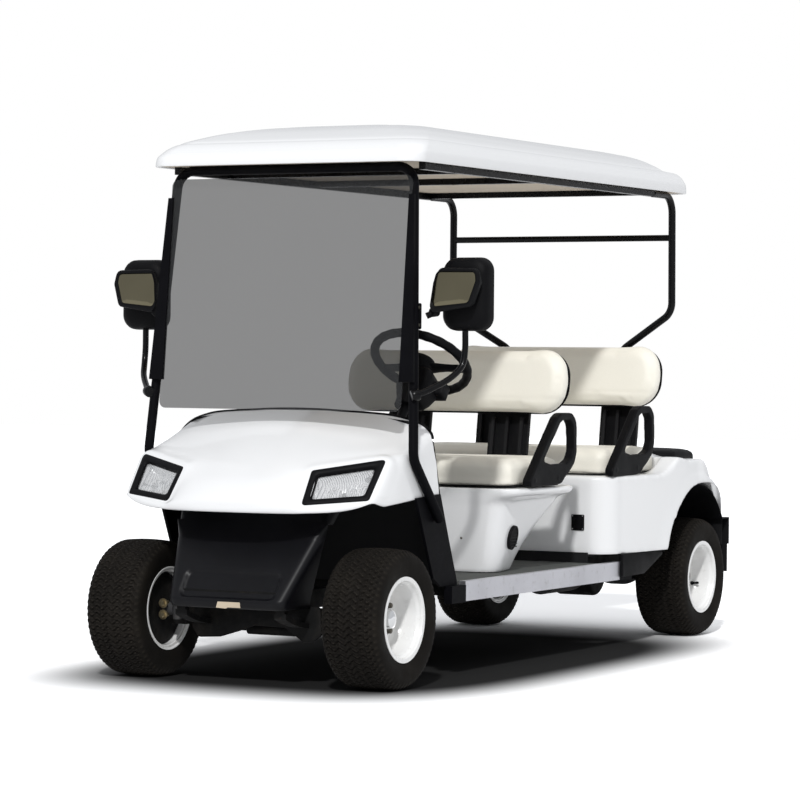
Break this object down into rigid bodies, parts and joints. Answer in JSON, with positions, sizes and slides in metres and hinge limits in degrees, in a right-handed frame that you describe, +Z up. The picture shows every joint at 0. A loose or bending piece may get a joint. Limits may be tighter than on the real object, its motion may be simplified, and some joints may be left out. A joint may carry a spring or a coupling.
{
  "type": "golf cart",
  "caption": "Open-sided golf cart with a hard roof, tinted windscreen, front and rear bench seats, steered front wheels and lift-up seats.",
  "frame": {"origin": "on the ground under the middle of the cart's bounding box", "axes": "+Z up; the cart faces -Y, so +Y is rearwards; +X is the cart's left, the driver's side"},
  "size_m": [1.409, 3.017, 1.8799],
  "materials": {
    "aluminium": "satin",
    "bare_steel": "satin",
    "battery_case": "matte",
    "beige_liner": "matte",
    "black_paint": "gloss",
    "black_plastic": "satin",
    "cast_housing": "rough",
    "channel_rubber": "matte",
    "chassis_steel": "matte",
    "chrome": "gloss",
    "clear_glass": "gloss",
    "cream_vinyl": "satin",
    "floor_rubber": "ribbed matte",
    "mirror": "gloss",
    "tinted_glass": "gloss",
    "tyre_rubber": "matte",
    "wheel_white": "gloss",
    "white_gelcoat": "gloss"
  },
  "bodies": {
    "chassis": {"armrests": "black_plastic", "backrest_shells": "black_plastic", "backrest_supports": "black_plastic", "backrests": "cream_vinyl", "battery_pack": "battery_case", "charging_socket": "black_plastic", "chassis_rails": "chassis_steel", "cross_members": "chassis_steel", "dashboard": "black_plastic", "drive_motor": "cast_housing", "floor_pan": "floor_rubber", "front_axle": "chassis_steel", "front_cowl": "white_gelcoat", "front_frame": "black_paint", "front_seat_pod": "white_gelcoat", "front_valance": "black_plastic", "headlamp_bezels": "black_plastic", "headlamp_lenses": "clear_glass", "headlamp_reflectors": "chrome", "leaf_springs": "chassis_steel", "mirror_glasses": "mirror", "mirror_housings": "black_plastic", "mirror_stems": "black_paint", "pedals": "black_plastic", "rear_axle": "chassis_steel", "rear_body": "white_gelcoat", "rear_deck": "black_plastic", "rear_frame": "black_paint", "rear_mouldings": "black_plastic", "roof_frame": "black_paint", "roof_liner": "beige_liner", "roof_shell": "white_gelcoat", "side_lamps": "black_plastic", "side_mouldings": "black_plastic", "sills": "aluminium", "steering_column": "black_plastic", "steering_rack": "chassis_steel", "windscreen": "tinted_glass", "windscreen_channels": "channel_rubber"},
    "knuckle_left": {"knuckle_left": "cast_housing"},
    "knuckle_right": {"knuckle_right": "cast_housing"},
    "tie_rod": {"tie_rod": "bare_steel"},
    "steering_wheel": {"steering_wheel": "black_plastic"},
    "front_seat_lid": {"front_seat_cushion": "cream_vinyl"},
    "rear_seat_lid": {"rear_seat_cushion": "cream_vinyl"},
    "wheel_front_left": {"tyre_front_left": "tyre_rubber", "rim_front_left": "wheel_white"},
    "wheel_front_right": {"tyre_front_right": "tyre_rubber", "rim_front_right": "wheel_white"},
    "wheel_rear_left": {"tyre_rear_left": "tyre_rubber", "rim_rear_left": "wheel_white"},
    "wheel_rear_right": {"tyre_rear_right": "tyre_rubber", "rim_rear_right": "wheel_white"}
  },
  "joints": [
    {"name": "steer_left", "type": "hinge", "parent": "chassis", "child": "knuckle_left", "pos_m": [0.316, -1.2765, 0.2295], "axis": [0, 0, 1], "range_deg": [-27, 27]},
    {"name": "steer_right", "type": "hinge", "parent": "chassis", "child": "knuckle_right", "pos_m": [-0.316, -1.2765, 0.2295], "axis": [0, 0, 1], "range_deg": [-27, 27]},
    {"name": "spin_front_left", "type": "hinge", "parent": "knuckle_left", "child": "wheel_front_left", "pos_m": [0.44, -1.2765, 0.2295], "axis": [1, 0, 0], "continuous": true},
    {"name": "spin_front_right", "type": "hinge", "parent": "knuckle_right", "child": "wheel_front_right", "pos_m": [-0.44, -1.2765, 0.2295], "axis": [1, 0, 0], "continuous": true},
    {"name": "spin_rear_left", "type": "hinge", "parent": "chassis", "child": "wheel_rear_left", "pos_m": [0.44, 1.2245, 0.2295], "axis": [1, 0, 0], "continuous": true},
    {"name": "spin_rear_right", "type": "hinge", "parent": "chassis", "child": "wheel_rear_right", "pos_m": [-0.44, 1.2245, 0.2295], "axis": [1, 0, 0], "continuous": true},
    {"name": "tie_rod_slide", "type": "slide", "parent": "chassis", "child": "tie_rod", "axis": [1, 0, 0], "range_m": [-0.0496, 0.0496]},
    {"name": "steering_turn", "type": "hinge", "parent": "chassis", "child": "steering_wheel", "pos_m": [0.23, -0.5855, 1.061], "axis": [0, 0.6018, 0.7986], "range_deg": [-324.5, 324.5]},
    {"name": "front_seat_hinge", "type": "hinge", "parent": "chassis", "child": "front_seat_lid", "pos_m": [0, -0.3925, 0.6273], "axis": [1, 0, 0], "range_deg": [0, 60]},
    {"name": "rear_seat_hinge", "type": "hinge", "parent": "chassis", "child": "rear_seat_lid", "pos_m": [0, 0.4485, 0.6453], "axis": [1, 0, 0], "range_deg": [0, 60]}
  ],
  "couplings": [
    {"joint": "steer_right", "follows": "steer_left", "ratio": 1},
    {"joint": "tie_rod_slide", "follows": "steer_left", "m_per_rad": -0.105},
    {"joint": "steering_turn", "follows": "steer_left", "ratio": 12}
  ]
}
